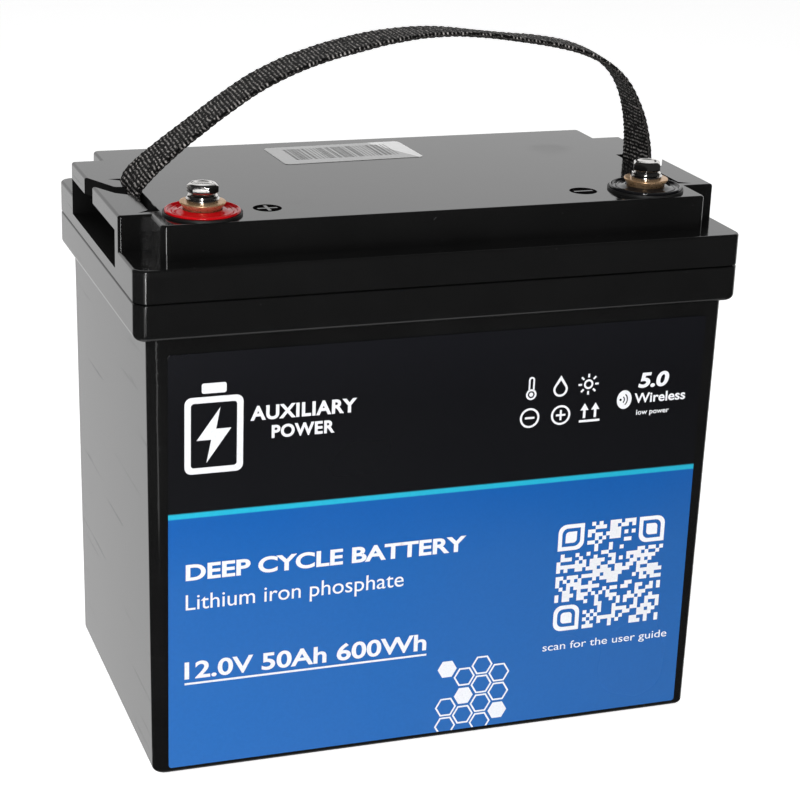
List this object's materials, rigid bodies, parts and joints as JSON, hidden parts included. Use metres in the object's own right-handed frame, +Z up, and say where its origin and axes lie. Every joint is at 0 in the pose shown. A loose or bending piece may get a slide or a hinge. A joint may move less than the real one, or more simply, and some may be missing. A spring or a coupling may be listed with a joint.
{
  "type": "deep cycle battery",
  "caption": "Rectangular sealed battery with a collared case, a raised lid, a webbing carrying strap and bolted terminals at the two front corners.",
  "frame": {"origin": "middle of the case's bottom face", "axes": "+X along the length towards the negative terminal, -Y is the labelled front, +Z up"},
  "size_m": [0.2304, 0.138, 0.2621],
  "materials": {
    "case_plastic": "glossy moulded ABS",
    "sealant": "cured sealant bead",
    "label_film": "printed laminated film, dark above and blue below",
    "sticker_paper": "white coated paper with printed bars",
    "webbing": "coarse woven polypropylene webbing",
    "bar_plastic": "moulded nylon",
    "red_plastic": "glossy red plastic",
    "dark_plastic": "moulded black plastic",
    "rubber": "soft rubber",
    "brass": "machined",
    "plated_steel": "bright nickel plate",
    "cell_can": "aluminium can in film",
    "insulation": "glass fibre sheet",
    "end_board": "glass fibre board",
    "band_steel": "plain",
    "copper": "bare copper",
    "tinned_copper": "tinned",
    "foam": "closed-cell foam",
    "bare_aluminium": "extruded",
    "circuit_board": "solder mask",
    "chip_black": "moulded epoxy",
    "spacer_brass": "turned",
    "cable_red": "silicone jacket",
    "cable_black": "silicone jacket"
  },
  "bodies": {
    "case": {"barcode_sticker": "sticker_paper", "base_pad": "foam", "binding_bands": "band_steel", "board_cradle": "dark_plastic", "board_screws": "band_steel", "board_spacers": "spacer_brass", "cell_1": "cell_can", "cell_2": "cell_can", "cell_3": "cell_can", "cell_4": "cell_can", "cell_screws": "band_steel", "container": "case_plastic", "control_board": "circuit_board", "current_shunts": "copper", "end_plate_front": "end_board", "end_plate_rear": "end_board", "front_label": "label_film", "heat_spreader": "bare_aluminium", "insulation_sheets": "insulation", "lid": "case_plastic", "lid_seal": "sealant", "negative_cable": "cable_black", "negative_cable_lugs": "tinned_copper", "negative_clamp_nut": "brass", "negative_insert": "brass", "negative_o_ring": "rubber", "negative_ring": "dark_plastic", "positive_cable": "cable_red", "positive_cable_lugs": "tinned_copper", "positive_clamp_nut": "brass", "positive_insert": "brass", "positive_o_ring": "rubber", "positive_ring": "red_plastic", "power_transistors": "chip_black", "radio_bracket": "dark_plastic", "radio_module": "circuit_board", "sense_connector": "dark_plastic", "series_busbars": "copper", "stack_cable": "cable_black", "stack_cable_lugs": "tinned_copper", "strap_bar_left": "bar_plastic", "strap_bar_right": "bar_plastic", "strap_end_left": "webbing", "strap_end_right": "webbing", "top_pad": "foam"},
    "handle": {"carry_strap": "webbing"},
    "positive_washers": {"positive_flat_washer": "plated_steel", "positive_spring_washer": "plated_steel"},
    "positive_bolt_body": {"positive_bolt": "plated_steel"},
    "negative_washers": {"negative_flat_washer": "plated_steel", "negative_spring_washer": "plated_steel"},
    "negative_bolt_body": {"negative_bolt": "plated_steel"}
  },
  "joints": [
    {"name": "handle_swing", "type": "hinge", "parent": "case", "child": "handle", "pos_m": [0, -0.0015, 0.2194], "axis": [1, 0, 0], "range_deg": [-75, 75]},
    {"name": "positive_bolt_lift", "type": "slide", "parent": "case", "child": "positive_washers", "axis": [0, 0, 1], "range_m": [0, 0.01]},
    {"name": "positive_bolt_turn", "type": "hinge", "parent": "positive_washers", "child": "positive_bolt_body", "pos_m": [-0.0855, -0.0446, 0.2122], "axis": [0, 0, 1], "range_deg": [0, 3610]},
    {"name": "negative_bolt_lift", "type": "slide", "parent": "case", "child": "negative_washers", "axis": [0, 0, 1], "range_m": [0, 0.01]},
    {"name": "negative_bolt_turn", "type": "hinge", "parent": "negative_washers", "child": "negative_bolt_body", "pos_m": [0.0855, -0.0446, 0.2122], "axis": [0, 0, 1], "range_deg": [0, 3610]}
  ],
  "couplings": [
    {"joint": "positive_bolt_turn", "follows": "positive_bolt_lift", "rad_per_m": 6283.2},
    {"joint": "negative_bolt_turn", "follows": "negative_bolt_lift", "rad_per_m": 6283.2}
  ]
}
